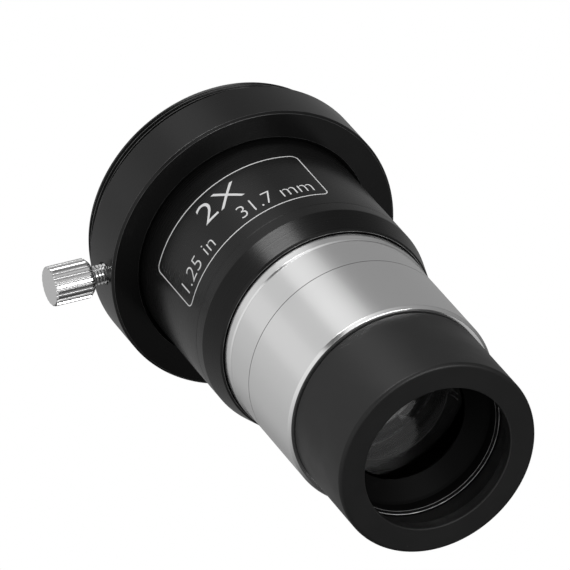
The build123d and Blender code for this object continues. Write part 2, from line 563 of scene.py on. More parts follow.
@dataclass(frozen=True)
class Finish:
    """One surface finish: its colour, its gloss, the marks that the process leaves and the shade painted into
    its grooves.
    """

    name: str
    colour: float
    roughness: float
    metallic: float = 0.0
    specular: float = 0.5
    pattern: Pattern = Pattern.TURNED
    marks_per_mm: float = 8.0
    depth_mm: float = 0.002
    roughness_spread: float = 0.06
    colour_spread: float = 0.15
    wear: float = 0.0
    worn_colour: float = 0.75
    # Share of painted shade that darkens narrow groove walls towards near black.
    painted_groove_shade: float = 0.0
    dust: float = 0.0
    about_screw: bool = False
    transmission: float = 0.0
    ior: float = 1.5
    coat: float = 0.0

    def material(self, effects: Effects, screw_height: float) -> bpy.types.Material:
        """Build the finish's material.

        Args:
            effects: The shared node groups.
            screw_height: Height of the thumbscrew's axis in metres.

        Returns:
            The material.
        """
        made = bpy.data.materials.new(self.name)
        made.use_nodes = True
        tree = made.node_tree
        shader = tree.nodes["Principled BSDF"]
        grey = (self.colour, self.colour, self.colour, 1.0)
        shader.inputs["Base Color"].default_value = grey
        shader.inputs["Roughness"].default_value = self.roughness
        shader.inputs["Metallic"].default_value = self.metallic
        shader.inputs["Specular IOR Level"].default_value = self.specular
        shader.inputs["Transmission Weight"].default_value = self.transmission
        shader.inputs["IOR"].default_value = self.ior
        shader.inputs["Coat Weight"].default_value = self.coat
        place = self._place(tree, screw_height)
        marks = self._marks(tree, effects, place)
        self._vary_roughness(tree, shader, marks)
        self._vary_colour(tree, shader, effects, marks, place)
        if self.depth_mm > 0:
            bump = tree.nodes.new("ShaderNodeBump")
            bump.inputs["Distance"].default_value = self.depth_mm * MM
            tree.links.new(marks.outputs["Height"], bump.inputs["Height"])
            tree.links.new(bump.outputs[0], shader.inputs["Normal"])
        return made

    def _place(self, tree: bpy.types.NodeTree, screw_height: float) -> bpy.types.NodeSocket:
        """Give the coordinates that the marks follow, with their Z along the turning axis.

        Args:
            tree: The material's nodes.
            screw_height: Height of the thumbscrew's axis in metres.

        Returns:
            The socket with the coordinates.
        """
        source = tree.nodes.new("ShaderNodeTexCoord").outputs["Object"]
        if not self.about_screw:
            return source
        lower = tree.nodes.new("ShaderNodeMapping")
        lower.inputs["Location"].default_value = (0, 0, -screw_height)
        turn = tree.nodes.new("ShaderNodeMapping")
        turn.inputs["Rotation"].default_value = (0, -math.pi / 2, 0)
        tree.links.new(source, lower.inputs[0])
        tree.links.new(lower.outputs[0], turn.inputs[0])
        return turn.outputs[0]

    def _marks(
        self, tree: bpy.types.NodeTree, effects: Effects, place: bpy.types.NodeSocket
    ) -> bpy.types.Node:
        """Place the group that draws the finish's marks.

        Args:
            tree: The material's nodes.
            effects: The shared node groups.
            place: Coordinates for the marks.

        Returns:
            The group node, with Height and Mask outputs.
        """
        node = tree.nodes.new("ShaderNodeGroup")
        if self.pattern is Pattern.BLASTED:
            node.node_tree = effects.grain
            node.inputs["Grain mm"].default_value = 1 / self.marks_per_mm
        else:
            node.node_tree = effects.turning
            node.inputs["Marks per mm"].default_value = self.marks_per_mm
        tree.links.new(place, node.inputs["Vector"])
        return node

    def _vary_roughness(
        self, tree: bpy.types.NodeTree, shader: bpy.types.Node, marks: bpy.types.Node
    ) -> None:
        """Let the roughness follow the marks a little.

        Args:
            tree: The material's nodes.
            shader: The material's shader.
            marks: The node with the marks.
        """
        span = tree.nodes.new("ShaderNodeMapRange")
        span.inputs["From Min"].default_value = 0.1
        span.inputs["From Max"].default_value = 0.7
        span.inputs["To Min"].default_value = max(0.0, self.roughness - self.roughness_spread)
        span.inputs["To Max"].default_value = self.roughness + self.roughness_spread
        tree.links.new(marks.outputs["Mask"], span.inputs["Value"])
        tree.links.new(span.outputs[0], shader.inputs["Roughness"])

    def _vary_colour(
        self,
        tree: bpy.types.NodeTree,
        shader: bpy.types.Node,
        effects: Effects,
        marks: bpy.types.Node,
        place: bpy.types.NodeSocket,
    ) -> None:
        """Vary the colour with the marks, rub it along the edges, paint shade into the grooves and dust it.

        Args:
            tree: The material's nodes.
            shader: The material's shader.
            effects: The shared node groups.
            marks: The node with the marks.
            place: Coordinates for wear and dust.
        """
        low, high = (self.colour * (1 + side * self.colour_spread) for side in (-1, 1))
        colour = self._mix(tree, marks.outputs["Mask"], low, min(1.0, high))
        if self.wear > 0:
            worn = tree.nodes.new("ShaderNodeGroup")
            worn.node_tree = effects.wear
            tree.links.new(place, worn.inputs["Vector"])
            tree.links.new(self._mark(tree, "rub"), worn.inputs["Rub"])
            amount = Effects._math(tree, "MULTIPLY", worn.outputs["Mask"], self.wear)
            colour = self._mix(tree, amount, colour, self.worn_colour)
            tree.links.new(amount, shader.inputs["Metallic"])
        # Painted shade: narrow groove walls are darkened towards near black and lose their metal sheen.
        if self.painted_groove_shade > 0:
            amount = Effects._math(tree, "MULTIPLY", self._mark(tree, "painted_groove_shade"), self.painted_groove_shade)
            colour = self._mix(tree, amount, colour, 0.02)
            tree.links.new(Effects._math(tree, "SUBTRACT", 1.0, amount), shader.inputs["Metallic"])
        if self.dust > 0:
            specks = tree.nodes.new("ShaderNodeGroup")
            specks.node_tree = effects.dust
            tree.links.new(place, specks.inputs["Vector"])
            amount = Effects._math(tree, "MULTIPLY", specks.outputs["Mask"], self.dust)
            colour = self._mix(tree, amount, colour, 0.5)
        tree.links.new(colour, shader.inputs["Base Color"])

    @staticmethod
    def _mark(tree: bpy.types.NodeTree, name: str) -> bpy.types.NodeSocket:
        """Read a mark that the mesh carries.

        Args:
            tree: The material's nodes.
            name: Name of the mark.

        Returns:
            The mark's value.
        """
        node = tree.nodes.new("ShaderNodeAttribute")
        node.attribute_name = name
        return node.outputs["Fac"]

    @staticmethod
    def _mix(
        tree: bpy.types.NodeTree,
        factor: bpy.types.NodeSocket,
        first: bpy.types.NodeSocket | float,
        second: float,
    ) -> bpy.types.NodeSocket:
        """Mix two greys.

        Args:
            tree: The material's nodes.
            factor: Share of the second.
            first: A colour socket or a grey.
            second: A grey.

        Returns:
            The mixed colour.
        """
        node = tree.nodes.new("ShaderNodeMix")
        node.data_type = "RGBA"
        tree.links.new(factor, node.inputs[0])
        if isinstance(first, float):
            node.inputs[6].default_value = (first, first, first, 1)
        else:
            tree.links.new(first, node.inputs[6])
        node.inputs[7].default_value = (second, second, second, 1)
        return node.outputs[2]


class Finishes(Enum):
    """The finishes on this lens."""

    GLOSS_BLACK = Finish("gloss black anodised", 0.006, 0.27, specular=0.26, depth_mm=0.0006, wear=0.13)
    SATIN_BLACK = Finish(
        "satin black anodised", 0.006, 0.3, specular=0.26, depth_mm=0.0008, wear=0.25, dust=0.05
    )
    CELL_BLACK = Finish(
        "blasted black anodised", 0.011, 0.4, specular=0.28, pattern=Pattern.BLASTED, marks_per_mm=7,
        depth_mm=0.004, wear=0.08, dust=0.05,
    )
    MATTE_BLACK = Finish("matte black", 0.004, 0.5, specular=0.04, marks_per_mm=5, depth_mm=0.003, wear=0.9)
    # Painted shade: the silver's scribed line and other narrow grooves are darkened almost to black.
    SATIN_SILVER = Finish(
        "satin turned aluminium", 0.86, 0.2, metallic=1.0, marks_per_mm=12, depth_mm=0.0008,
        roughness_spread=0.03, colour_spread=0.03, painted_groove_shade=0.95,
    )
    # Painted shade: the knob's flutes and the shank's thread grooves are darkened to mid-grey.
    NICKEL = Finish(
        "bright nickel", 0.9, 0.17, metallic=1.0, depth_mm=0.0001, painted_groove_shade=0.55, marks_per_mm=9,
        roughness_spread=0.04, colour_spread=0.04, about_screw=True,
    )
    GLASS = Finish(
        "coated glass", 0.93, 0.02, specular=0.5, pattern=Pattern.BLASTED, marks_per_mm=5,
        depth_mm=0.0012, roughness_spread=0.015, colour_spread=0.02, transmission=1.0, ior=1.52,
    )
    INK = Finish(
        "pale label ink", 0.66, 0.5, pattern=Pattern.BLASTED, marks_per_mm=6, depth_mm=0.002,
        colour_spread=0.12,
    )


class Workshop:
    """Turns meshes into finished pieces of the model."""

    def __init__(self) -> None:
        """Build the node groups and one material for each finish."""
        effects = Effects()
        low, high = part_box("thumbscrew_knob")
        height = (low.z + high.z) / 2
        self.materials = {kind: kind.value.material(effects, height) for kind in Finishes}
        self.bodies = frame["record"]["behaviour"]["bodies"]

    def finish(
        self,
        name: str,
        shape: BMesh,
        kind: Finishes,
        body: str,
        nodes: Sequence[str] = (),
        weighted: bool = True,
    ) -> bpy.types.Object:
        """Make a piece from its mesh, dress it and let it ride on its body.

        Args:
            name: Name of the piece.
            shape: Its mesh, which is used up.
            kind: Its finish.
            body: The body that carries it.
            nodes: CAD nodes that it stands for.
            weighted: Whether broad faces decide the shading beside narrow ones.

        Returns:
            The piece.
        """
        mark_edges(shape)
        shade(shape)
        triangles = sum(len(face.verts) - 2 for face in shape.faces)
        piece = new_object(name, shape)
        piece.data.materials.append(self.materials[kind])
        if weighted:
            normals = piece.modifiers.new("broad faces first", "WEIGHTED_NORMAL")
            normals.keep_sharp = True
        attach(piece, body)
        if nodes:
            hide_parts(*nodes)
        LOG.info("%s: %d triangles on %s, finished in %s", name, triangles, body, kind.value.name)
        return piece


# ---------------------------------------------------------------------------------------------
# Sub-assemblies


@dataclass
class EyepieceCollar:
    """Collar at the eyepiece end, with the T-thread, the flange and the barrel's seat."""

    thread_crest: float = 21.0
    thread_pitch: float = 0.75
    thread_depth: float = 0.46
    thread_start: float = 20.6
    thread_end: float = 3.1
    rim_gap: float = 0.25
    relief_radius: float = 20.2
    flange_rear: float = 4.0
    flange_chamfer: float = 0.35
    seat_radius: float = 17.65
    seat_chamfer: float = 0.55
    seat_floor: float = 6.0
    socket_radius: float = 15.95
    socket_chamfer: float = 0.45
    edge: float = 0.06
    hole_radius: float = 1.5
    hole_mouth: float = 1.8

    def build(self, shop: Workshop) -> None:
        """Build the collar.

        Args:
            shop: Workshop that finishes it.
        """
        low, high = node_box("eyepiece_collar")
        flange, top = high.x, high.z
        crest = self.thread_crest
        thread = Thread(crest, crest - self.thread_depth, self.thread_pitch, low.z, self.thread_end)
        shape = bmesh.new()
        thread.add_to(shape)
        thread.lead_in(shape, self.thread_start, low.z, 1)
        open_outline = [
            Corner(self.thread_start - self.rim_gap, low.z),
            Corner(self.socket_radius + self.socket_chamfer, low.z, self.edge),
            Corner(self.socket_radius, low.z + self.socket_chamfer, self.edge),
            Corner(self.socket_radius, self.seat_floor),
            Corner(self.seat_radius, self.seat_floor),
            Corner(self.seat_radius, top - self.seat_chamfer, self.edge),
            Corner(self.seat_radius + self.seat_chamfer, top, self.edge),
            Corner(flange - self.flange_chamfer, top, self.edge),
            Corner(flange, top - self.flange_chamfer, self.edge),
            Corner(flange, self.flange_rear + self.flange_chamfer, self.edge),
            Corner(flange - self.flange_chamfer, self.flange_rear, self.edge),
            Corner(self.relief_radius, self.flange_rear, self.edge),
            Corner(self.relief_radius, self.thread_end + RUN_OUT),
        ]
        spin_wire(shape, outline_wire(shape, open_outline, closed=False))
        shape = join_rims(shape)
        height = screw_height()
        shape = drill(shape, (self.hole_radius, self.hole_radius), self.socket_radius - 3, flange + 3, height)
        reach = self.hole_mouth - self.hole_radius
        ends = (self.hole_radius, self.hole_mouth + reach)
        shape = drill(shape, ends, flange - reach, flange + reach, height)
        shop.finish(
            "collar", shape, Finishes.GLOSS_BLACK, "body_tube", ["eyepiece_collar"]
        )


@dataclass
class MainBarrel:
    """Tube that carries the label, with the socket's ledge and the nosepiece's seat."""

    socket_radius: float = 15.95
    socket_floor: float = 31.0
    ledge_radius: float = 13.6
    ledge_front: float = 32.5
    tenon_seat: float = 15.35
    mouth_radius: float = 16.25
    mouth_floor: float = 36.5
    shoulder_rear: float = 33.7
    shoulder_radius: float = 16.6
    shoulder_edge: float = 0.25
    line_height: float = 31.6
    line_width: float = 0.14
    line_depth: float = 0.03
    passage_radius: float = 1.6
    edge: float = 0.06

    def build(self, shop: Workshop) -> None:
        """Build the barrel.

        Args:
            shop: Workshop that finishes it.
        """
        low, high = node_box("main_barrel")
        outer, rear, top = high.x, low.z, high.z
        half = self.line_width / 2
        outline = [
            Corner(self.socket_radius, rear),
            Corner(outer, rear, self.edge),
            Corner(outer, self.line_height - half),
            Corner(outer - self.line_depth, self.line_height),
            Corner(outer, self.line_height + half),
            Corner(outer, self.shoulder_rear, 0.08),
            Corner(self.shoulder_radius, top - self.shoulder_edge, self.edge),
            Corner(self.shoulder_radius - self.shoulder_edge, top, self.edge),
            Corner(self.mouth_radius, top, 0.04),
            Corner(self.mouth_radius, self.mouth_floor),
            Corner(self.tenon_seat, self.mouth_floor),
            Corner(self.tenon_seat, self.ledge_front),
            Corner(self.ledge_radius, self.ledge_front, self.edge),
            Corner(self.ledge_radius, self.socket_floor, self.edge),
            Corner(self.socket_radius, self.socket_floor),
        ]
        passage = (self.passage_radius, self.passage_radius)
        shape = drill(turned(outline), passage, self.socket_radius - 3, outer + 3, screw_height())
        shop.finish("barrel", shape, Finishes.SATIN_BLACK, "body_tube", ["main_barrel"])


@dataclass
class Nosepiece:
    """Silver tube that fits a focuser, with its scribed line and the glare stop inside."""

    bore_radius: float = 13.3
    tenon_radius: float = 15.3
    band_rear: float = 36.5
    tube_radius: float = 15.875
    band_front: float = 39.6
    scribe_height: float = 45.9
    scribe_width: float = 0.13
    scribe_depth: float = 0.07
    front_chamfer: float = 0.4
    cell_socket_radius: float = 14.25
    cell_socket_floor: float = 54.5
    stop_width: float = 3.35
    stop_bevel: float = 1.5
    edge: float = 0.05

    def build(self, shop: Workshop) -> None:
        """Build the tube and its glare stop.

        Args:
            shop: Workshop that finishes them.
        """
        low, high = node_box("nosepiece")
        band, outer, rear, front = high.x, self.tube_radius, low.z, high.z
        rise = band - outer
        half = self.scribe_width / 2
        outline = [
            Corner(self.bore_radius, rear),
            Corner(self.tenon_radius, rear, self.edge),
            Corner(self.tenon_radius, self.band_rear),
            Corner(band, self.band_rear, self.edge),
            Corner(band, self.band_front, 0.03),
            Corner(outer, self.band_front + rise),
            Corner(outer, self.scribe_height - half),
            Corner(outer - self.scribe_depth, self.scribe_height),
            Corner(outer, self.scribe_height + half),
            Corner(outer, front - self.front_chamfer, self.edge),
            Corner(outer - self.front_chamfer, front, self.edge),
            Corner(self.cell_socket_radius, front, self.edge),
            Corner(self.cell_socket_radius, self.cell_socket_floor),
            Corner(self.bore_radius, self.cell_socket_floor, self.edge),
        ]
        shop.finish(
            "nosepiece_tube", turned(outline), Finishes.SATIN_SILVER, "body_tube",
            ["nosepiece"],
        )
        self._build_stop(shop)

    def _build_stop(self, shop: Workshop) -> None:
        """Build the knife-edged ring across the light path.

        Args:
            shop: Workshop that finishes it.
        """
        low, high = node_box("glare_stop")
        bore = high.x - self.stop_width
        outline = [
            Corner(bore, high.z, 0.03),
            Corner(high.x, high.z, 0.1),
            Corner(high.x, low.z, 0.1),
            Corner(bore + self.stop_bevel, low.z, 0.05),
        ]
        shop.finish(
            "glare_baffle", turned(outline, INNER_STEPS), Finishes.MATTE_BLACK, "body_tube",
            ["glare_stop"],
        )


@dataclass
class LensCell:
    """Front cell with its lip and chamber, and the glass, seat ring and retaining ring in it."""

    bore_radius: float = 13.2
    cell_rear: float = 59.5
    rear_chamfer: float = 0.35
    tenon_wall: float = 1.0
    thread_pitch: float = 0.75
    thread_depth: float = 0.4
    thread_start: float = 0.1
    relief_width: float = 0.9
    relief_depth: float = 0.05
    front_rounding: float = 0.58
    aperture_radius: float = 11.15
    aperture_chamfer: float = 0.12
    lip_thickness: float = 1.8
    chamber_radius: float = 12.7
    ring_bevel: float = 0.35
    step_radius: float = 11.5
    step_depth: float = 2.2
    clear_radius: float = 9.1
    slot_width: float = 1.2
    slot_depth: float = 1.0
    ring_bore: float = 9.8
    rim_clearance: float = 0.01
    negative_sags: tuple[float, float] = (0.9, 0.7)
    meniscus_sags: tuple[float, float] = (0.4, -0.9)
    edge: float = 0.06

    def build(self, shop: Workshop) -> None:
        """Build the cell and everything in it.

        Args:
            shop: Workshop that finishes the pieces.
        """
        self._build_shell(shop)
        self._build_seat(shop)
        for node, sags in (("negative_lens", self.negative_sags), ("meniscus_lens", self.meniscus_sags)):
            self._build_glass(shop, node, *sags)
        self._build_retainer(shop)

    def _build_shell(self, shop: Workshop) -> None:
        """Build the cell's own body.

        Args:
            shop: Workshop that finishes it.
        """
        low, high = node_box("lens_cell")
        outer, rear, front = high.x, low.z, high.z
        seat = node_box("lens_seat_ring")[1].z
        thread_end = self.cell_rear - self.relief_width
        crest = self.bore_radius + self.tenon_wall
        thread = Thread(crest, crest - self.thread_depth, self.thread_pitch, rear, thread_end)
        shape = bmesh.new()
        thread.add_to(shape)
        thread.lead_in(shape, thread.root + self.thread_start, rear, 1)
        relief = thread.root - self.relief_depth
        open_outline = [
            Corner(relief, rear),
            Corner(self.bore_radius, rear, self.edge),
            Corner(self.bore_radius, seat),
            Corner(self.chamber_radius, seat),
            Corner(self.chamber_radius, front - self.lip_thickness),
            Corner(self.aperture_radius, front - self.lip_thickness, self.edge),
            Corner(self.aperture_radius, front - self.aperture_chamfer, 0.02),
            Corner(self.aperture_radius + self.aperture_chamfer, front, 0.02),
            Corner(outer, front, self.front_rounding),
            Corner(outer, self.cell_rear + self.rear_chamfer, self.edge),
            Corner(outer - self.rear_chamfer, self.cell_rear, self.edge),
            Corner(relief, self.cell_rear, self.edge),
            Corner(relief, thread_end + RUN_OUT),
        ]
        spin_wire(shape, outline_wire(shape, open_outline, closed=False))
        shop.finish("cell_body", join_rims(shape), Finishes.CELL_BLACK, "cell", ["lens_cell"])

    def _build_seat(self, shop: Workshop) -> None:
        """Build the stepped ring in front of the glass.

        Args:
            shop: Workshop that finishes it.
        """
        low, high = node_box("lens_seat_ring")
        outer, rear, front = high.x, low.z, high.z
        outline = [
            Corner(self.clear_radius, rear),
            Corner(outer, rear),
            Corner(outer, front),
            Corner(self.chamber_radius - self.ring_bevel, front, 0.09),
            Corner(self.chamber_radius - 2 * self.ring_bevel, front - self.ring_bevel, 0.09),
            Corner(self.step_radius + self.ring_bevel, front - self.step_depth + self.ring_bevel, 0.03),
            Corner(self.step_radius, front - self.step_depth, 0.03),
        ]
        shop.finish(
            "seat_ring", turned(outline), Finishes.MATTE_BLACK, "cell", ["lens_seat_ring"]
        )

    def _build_glass(self, shop: Workshop, node: str, rear_sag: float, front_sag: float) -> None:
        """Build one lens with two spherical faces and a flat rim.

        Args:
            shop: Workshop that finishes it.
            node: CAD node that it stands for.
            rear_sag: Depth of the hollow in the rear face, or minus the height of its bulge.
            front_sag: The same for the front face.
        """
        low, high = node_box(node)
        rear_edge = low.z if rear_sag > 0 else low.z - rear_sag
        front_edge = high.z if front_sag > 0 else high.z + front_sag
        shape = bmesh.new()
        rear_end = self._arc(shape, rear_edge, rear_sag)
        front_end = self._arc(shape, front_edge, -front_sag)
        rim = high.x - self.rim_clearance
        corners = [
            shape.verts.new((rim * MM, 0, height * MM)) for height in (rear_edge, front_edge)
        ]
        for pair in ((rear_end, corners[0]), corners, (corners[1], front_end)):
            shape.edges.new(pair)
        spin_wire(shape, [*shape.verts, *shape.edges])
        name = node.split("_")[0] + "_glass"
        shop.finish(name, close_up(shape), Finishes.GLASS, "cell", [node])

    def _arc(self, shape: BMesh, edge: float, rise: float, steps: int = 24) -> BMVert:
        """Draw a lens face's arc from the axis out to the clear radius.

        Args:
            shape: Mesh that receives the arc.
            edge: Height of the face at the clear radius.
            rise: How far the face's middle lies above that height, or below it if negative.
            steps: Number of chords.

        Returns:
            The vertex at the clear radius.
        """
        curve = (self.clear_radius**2 + rise**2) / (2 * abs(rise))
        sweep = math.asin(self.clear_radius / curve)
        side = math.copysign(1.0, rise)
        before = set(shape.verts)
        tip = shape.verts.new((0, 0, (edge + rise) * MM))
        bmesh.ops.spin(
            shape,
            geom=[tip],
            cent=(0, 0, (edge + rise - side * curve) * MM),
            axis=(0, side, 0),
            dvec=(0, 0, 0),
            angle=sweep,
            steps=steps,
            use_duplicate=False,
        )
        return max((v for v in shape.verts if v not in before), key=lambda v: abs(v.co.x))

    def _build_retainer(self, shop: Workshop) -> None:
        """Build the ring behind the glass, with two spanner slots in its rear face.

        Args:
            shop: Workshop that finishes it.
        """
        low, high = node_box("retaining_ring")
        outer, rear, front = high.x, low.z, high.z
        outline = [
            Corner(self.ring_bore, rear, 0.1),
            Corner(outer, rear, 0.1),
            Corner(outer, front),
            Corner(self.ring_bore, front),
        ]
        shape = turned(outline, INNER_STEPS)
        tool = bmesh.new()
        bmesh.ops.create_cube(tool, size=1.0)
        size = Matrix.Diagonal((3 * outer * MM, self.slot_width * MM, 2 * self.slot_depth * MM, 1))
        bmesh.ops.transform(tool, matrix=Matrix.Translation((0, 0, rear * MM)) @ size, verts=tool.verts)
        shop.finish(
            "slotted_retainer", cut_away(shape, tool), Finishes.MATTE_BLACK, "cell",
            ["retaining_ring"],
        )


def screw_height() -> float:
    """Give the height of the thumbscrew's axis in millimetres."""
    low, high = node_box("thumbscrew_knob")
    return (low.z + high.z) / 2


@dataclass
class Thumbscrew:
    """Fluted nickel knob on its M3 shank."""

    flutes: int = 22
    flute_radius: float = 0.27
    points_per_flute: int = 12
    inner_chamfer: float = 0.6
    outer_chamfer: float = 0.2
    socket_depth: float = 4.8
    socket_radius: float = 1.5
    pitch: float = 0.5
    thread_depth: float = 0.28
    tip_length: float = 0.5
    tip_taper: float = 0.35
    end_length: float = 0.2
    end_taper: float = 0.1
    rim_gap: float = 0.02
    shank_steps: int = 48

    def build(self, shop: Workshop) -> None:
        """Build the shank and the knob.

        Args:
            shop: Workshop that finishes them.
        """
        self._build_shank(shop)
        self._build_knob(shop)

    def _lay_along_x(self, shape: BMesh) -> BMesh:
        """Lay a shape that was made about Z on the screw's axis.

        Args:
            shape: The shape, with its heights as distances from the Z axis.

        Returns:
            The same shape.
        """
        place = Matrix.Translation((0, 0, screw_height() * MM)) @ Matrix.Rotation(math.pi / 2, 4, "Y")
        bmesh.ops.transform(shape, matrix=place, verts=shape.verts)
        return shape

    def _build_shank(self, shop: Workshop) -> None:
        """Build the threaded shank with a rounded tip.

        Args:
            shop: Workshop that finishes it.
        """
        low, high = node_box("thumbscrew_stud")
        crest = (high.y - low.y) / 2
        root = crest - self.thread_depth
        start, stop = low.x + self.tip_length, high.x - self.end_length
        thread = Thread(crest, root, self.pitch, start, stop, steps=self.shank_steps)
        shape = bmesh.new()
        thread.add_to(shape)
        rim, shoulder = root - self.rim_gap, root - self.end_taper
        tip = [
            Corner(0, low.x),
            Corner(root - self.tip_taper, low.x),
            Corner(shoulder, low.x + self.tip_length / 2),
            Corner(rim, thread.low),
        ]
        end = [Corner(rim, thread.high), Corner(shoulder, high.x), Corner(0, high.x)]
        for corners in (tip, end):
            spin_wire(shape, outline_wire(shape, corners, closed=False), self.shank_steps)
        shape = self._lay_along_x(join_rims(shape))
        shop.finish("threaded_shank", shape, Finishes.NICKEL, "screw_shank", ["thumbscrew_stud"])

    def _build_knob(self, shop: Workshop) -> None:
        """Build the knob by drawing its fluted end and extruding it along the axis.

        Args:
            shop: Workshop that finishes it.
        """
        low, high = node_box("thumbscrew_knob")
        radius = (high.y - low.y) / 2
        inner, outer = low.x, high.x
        shape = bmesh.new()
        count = self.flutes * self.points_per_flute
        rim = bmesh.ops.create_circle(shape, cap_ends=False, segments=count, radius=radius * MM)["verts"]
        loop = [e for e in shape.edges]
        first = inner + self.inner_chamfer
        last = outer - self.outer_chamfer
        stations = (
            (first, 0.0), (first + 0.05, 0.0), (last - 0.05, 0.0), (last, 0.0), (outer, self.outer_chamfer)
        )
        self._set_rim(rim, radius, *(inner, self.inner_chamfer))
        start = list(loop)
        for height, drop in stations:
            loop, rim = self._extrude(shape, loop)
            self._set_rim(rim, radius, height, drop)
        centre_rim = loop
        for reach, height in ((radius - self.outer_chamfer - 0.42, outer), (0.5, outer), (0.0, outer)):
            centre_rim, rim = self._extrude(shape, centre_rim)
            self._set_round(rim, reach, height)
        back = start
        bore = (
            (radius - self.inner_chamfer - 0.35, inner),
            (self.socket_radius, inner),
            (self.socket_radius, inner + self.socket_depth),
            (0.0, inner + self.socket_depth),
        )
        for reach, height in bore:
            back, rim = self._extrude(shape, back)
            self._set_round(rim, reach, height)
        shape = self._lay_along_x(close_up(shape))
        shop.finish("fluted_knob", shape, Finishes.NICKEL, "screw_head", ["thumbscrew_knob"])

    @staticmethod
    def _extrude(shape: BMesh, loop: Sequence[BMEdge]) -> tuple[list[BMEdge], list[BMVert]]:
        """Extrude a loop of edges.

        Args:
            shape: Mesh that holds the loop.
            loop: The loop.

        Returns:
            The new loop's edges and vertices.
        """
        made = bmesh.ops.extrude_edge_only(shape, edges=list(loop))["geom"]
        rim = [g for g in made if isinstance(g, BMVert)]
        fresh = set(rim)
        edges = [g for g in made if isinstance(g, BMEdge) and all(v in fresh for v in g.verts)]
        return edges, rim

    def _set_rim(self, rim: Iterable[BMVert], radius: float, height: float, drop: float) -> None:
        """Put a rim on the fluted outline.

        Args:
            rim: The rim's vertices.
            radius: Radius of the knob's crests.
            height: Distance of the rim along the axis.
            drop: How far a chamfer lowers the crests here.
        """
        half = self.flute_radius / radius
        pitch = 2 * math.pi / self.flutes
        for vertex in rim:
            angle = math.atan2(vertex.co.y, vertex.co.x)
            offset = (angle + pitch / 2) % pitch - pitch / 2
            reach = radius
            if abs(offset) < half:
                reach = radius * math.cos(offset) - math.sqrt(
                    max(0.0, self.flute_radius**2 - (radius * math.sin(offset)) ** 2)
                )
            reach = min(reach, radius - drop)
            vertex.co = (reach * math.cos(angle) * MM, reach * math.sin(angle) * MM, height * MM)

    @staticmethod
    def _set_round(rim: Iterable[BMVert], reach: float, height: float) -> None:
        """Put a rim on a plain circle.

        Args:
            rim: The rim's vertices.
            reach: Radius of the circle.
            height: Distance of the rim along the axis.
        """
        for vertex in rim:
            angle = math.atan2(vertex.co.y, vertex.co.x)
            vertex.co = (reach * math.cos(angle) * MM, reach * math.sin(angle) * MM, height * MM)


